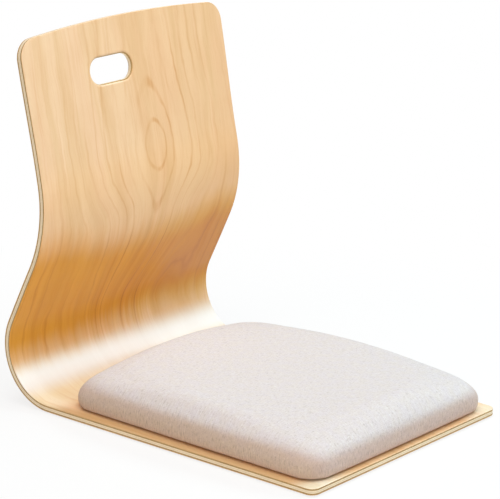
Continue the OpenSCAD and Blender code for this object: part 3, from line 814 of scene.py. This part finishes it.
felt = {
    "diameter": 0.028, "height": 0.002, "edge": 0.0005,
    "x": 0.158, "front": 0.042 - depthOfChair / 2, "rear": 0.418 - depthOfChair / 2,
    "steps": 64, "edgeSteps": 5, "rings": (0.3, 0.7, 0.93), "topRings": (0.93, 0.3),  # shares of the radius
    "dark": colour(0.34, 0.30, 0.26), "pale": colour(0.56, 0.51, 0.45), "ramp": (0.35, 0.65),
    "fibreScale": (1800, 1800, 1800), "roughness": 1.0, "specular": 0.1, "sheen": 0.3, "relief": (0.0003, 0.8),
}


def feltFoot(name, x, y, material):
    # Radius and height of the profile, which is flat with a quarter circle at both edges, swept round in steps
    r, h, e = felt["diameter"] / 2, felt["height"], felt["edge"]
    turn = np.linspace(0, np.pi / 2, felt["edgeSteps"])
    radius = np.concatenate([r * np.array(felt["rings"]), r - e + e * np.sin(turn), r - e + e * np.cos(turn),
                             r * np.array(felt["topRings"])])
    height = np.concatenate([np.zeros(len(felt["rings"])), e - e * np.cos(turn), h - e + e * np.sin(turn),
                             np.full(len(felt["topRings"]), h)])
    angle = np.linspace(0, 2 * np.pi, felt["steps"] + 1)[:-1]
    points = np.stack([x + radius[:, None] * np.cos(angle), y + radius[:, None] * np.sin(angle),
                       np.repeat(height[:, None], len(angle), 1)], -1).reshape(-1, 3)
    points = np.concatenate([points, [[x, y, h], [x, y, 0]]])
    return makePiece(name, points, ringFaces(len(radius), len(angle)), material)


def feltMaterial(look):
    material, tree, shader = newMaterial("pressedFelt")
    fibres = noise(tree, objectPlace(tree), look["fibreScale"], (0, 0, 0), 4.0, 0.7, 1.2)
    fillSockets(tree, shader, {
        "Base Color": blendColours(tree, spread(tree, fibres, *look["ramp"]), look["dark"], look["pale"]),
        "Roughness": look["roughness"],
        "Specular IOR Level": look["specular"],
        "Sheen Weight": look["sheen"],
        "Normal": bump(tree, fibres, *look["relief"]),
    })
    return material


feet = [
    ("feltFrontLeft", "foot_front_left", -felt["x"], felt["front"]),
    ("feltFrontRight", "foot_front_right", felt["x"], felt["front"]),
    ("feltRearLeft", "foot_rear_left", -felt["x"], felt["rear"]),
    ("feltRearRight", "foot_rear_right", felt["x"], felt["rear"]),
]
feltGrey = feltMaterial(felt)
for name, node, x, y in feet:
    foot = feltFoot(name, x, y, feltGrey)
    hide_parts(node)
    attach(foot, "root")
print("feet built")


# What lies inside and under the pad

foam = {
    "dark": colour(0.62, 0.52, 0.28), "pale": colour(0.90, 0.82, 0.58), "ramp": (0.1, 0.6),
    "cells": 900.0, "roughness": 0.95, "relief": (0.0005, 0.7),
}
grit = {"ramp": (0.36, 0.64), "roughnessRamp": (0.3, 0.7), "roughnessChange": 0.06, "bumpStrength": 0.6}
innerLook = {  # nodes, darker and paler colour, scale of the grit, roughness, metal, relief
    "boardPly": (["pad_board"], colour(0.56, 0.38, 0.22), colour(0.76, 0.58, 0.38), (300, 14, 60), 0.65, 0.0, 0.0002),
    "whiteWadding": (["pad_wadding"], colour(0.80, 0.80, 0.79), colour(0.93, 0.93, 0.92), (260, 260, 260),
                     0.9, 0.0, 0.0008),
    "blackSpunbond": (["pad_dust_cloth"], colour(0.025, 0.025, 0.027), colour(0.075, 0.075, 0.08), (700, 700, 700),
                      0.85, 0.0, 0.0002),
    "zincSteel": (["cover_staples", "tee_nuts", "pad_screws"], colour(0.58, 0.58, 0.56), colour(0.74, 0.74, 0.72),
                  (240, 240, 900), 0.30, 1.0, 0.00004),
}


def grainyMaterial(name, low, high, scale, roughness, metal, relief):
    # One noise for the colour, the roughness and the bumps
    material, tree, shader = newMaterial(name)
    grains = noise(tree, objectPlace(tree), scale, (0, 0, 0), 3.0, 0.6)
    change = grit["roughnessChange"]
    fillSockets(tree, shader, {
        "Base Color": blendColours(tree, spread(tree, grains, *grit["ramp"]), low, high),
        "Roughness": spread(tree, grains, *grit["roughnessRamp"], roughness - change, roughness + change),
        "Metallic": metal,
        "Normal": bump(tree, grains, relief, grit["bumpStrength"]),
    })
    return material


def foamMaterial(look):
    # Open cells: small rounded pits, with painted shade darkening their hollows
    material, tree, shader = newMaterial("yellowFoam")
    cells = addNode(tree, "ShaderNodeTexVoronoi", {"Vector": objectPlace(tree), "Scale": look["cells"]})
    depth = cells.outputs["Distance"]
    fillSockets(tree, shader, {
        "Base Color": blendColours(tree, spread(tree, depth, *look["ramp"]), look["dark"], look["pale"]),
        "Roughness": look["roughness"],
        "Normal": bump(tree, depth, *look["relief"]),
    })
    return material


dress(["pad_foam"], foamMaterial(foam))
for name, (nodes, *look) in innerLook.items():
    dress(nodes, grainyMaterial(name, *look))
print("inner pieces dressed")


# Floor, backdrop and lamps

studio = {
    "floor": colour(0.87, 0.855, 0.84), "floorRoughness": 0.8, "floorReach": 30.0,
    "paling": (0.25, 0.85, 0.80, 1.0),  # how far from the object the seen floor turns white
    "white": colour(1, 1, 1),
    "world": 0.18,
    "lamps": {  # place, aimed at, width, height, power, colour, roll in degrees
        "overhead": ((-0.3, -0.2, 2.8), (0.0, 0.0, 0.1), 2.0, 2.0, 52.0, (1.0, 0.995, 0.985), 0.0),
        "front": ((-1.6, -1.25, 0.80), (0.0, 0.1, 0.2), 1.4, 1.2, 12.5, (1.0, 0.965, 0.91), 0.0),
        "window": ((2.205, -0.75, 1.90), (0.0, 0.2, 0.05), 2.8, 0.8, 54.0, (0.66, 0.91, 1.0), 14.0),
    },
}


def seenPart(tree):  # 1 for rays from the camera and from reflections, which meet the white backdrop
    path = addNode(tree, "ShaderNodeLightPath").outputs
    seen = plus(tree, path["Is Camera Ray"], path["Is Glossy Ray"])
    return mathNode(tree, "ADD", seen, path["Is Transmission Ray"], clamp=True)


def addFloor(settings):
    # Plain floor for the light; where it is seen, it pales to white away from the object, and keeps the shadow near it
    material, tree, shader = newMaterial("studioFloor")
    fillSockets(tree, shader, {"Base Color": settings["floor"], "Roughness": settings["floorRoughness"]})
    away = addNode(tree, "ShaderNodeVectorMath", {0: objectPlace(tree)}, operation="LENGTH").outputs["Value"]
    share = times(tree, seenPart(tree), spread(tree, away, *settings["paling"]))
    white = addNode(tree, "ShaderNodeEmission", {"Color": settings["white"], "Strength": 1.0})
    mix = addNode(tree, "ShaderNodeMixShader", {0: share, 1: shader.outputs[0], 2: white.outputs[0]})
    fillSockets(tree, tree.nodes["Material Output"], {"Surface": mix.outputs[0]})
    reach = settings["floorReach"]
    corners = [(-reach, -reach, 0), (reach, -reach, 0), (reach, reach, 0), (-reach, reach, 0)]
    floor = makePiece("studioFloor", corners, [(0, 1, 2, 3)], material, False)


def addWorld(settings):
    world = bpy.data.worlds.new("studio")
    world.use_nodes = True
    tree = world.node_tree
    plain = tree.nodes["Background"]
    fillSockets(tree, plain, {"Color": settings["white"], "Strength": settings["world"]})
    white = addNode(tree, "ShaderNodeBackground", {"Color": settings["white"], "Strength": 1.0})
    mix = addNode(tree, "ShaderNodeMixShader", {0: seenPart(tree), 1: plain.outputs[0], 2: white.outputs[0]})
    fillSockets(tree, tree.nodes["World Output"], {"Surface": mix.outputs[0]})
    bpy.context.scene.world = world


def addLamp(name, place, target, width, height, power, tint, roll):
    data = bpy.data.lights.new(name, "AREA")
    data.shape, data.size, data.size_y = "RECTANGLE", width, height
    data.energy, data.color = power, tint
    lamp = bpy.data.objects.new(name, data)
    aim = (Vector(target) - Vector(place)).to_track_quat("-Z", "Y").to_matrix().to_4x4()
    lamp.matrix_world = Matrix.Translation(place) @ aim @ Matrix.Rotation(math.radians(roll), 4, "Z")
    bpy.context.scene.collection.objects.link(lamp)


addFloor(studio)
addWorld(studio)
for name, settings in studio["lamps"].items():
    addLamp(name, *settings)
bpy.context.scene.view_settings.view_transform = "Standard"
print("studio lit")
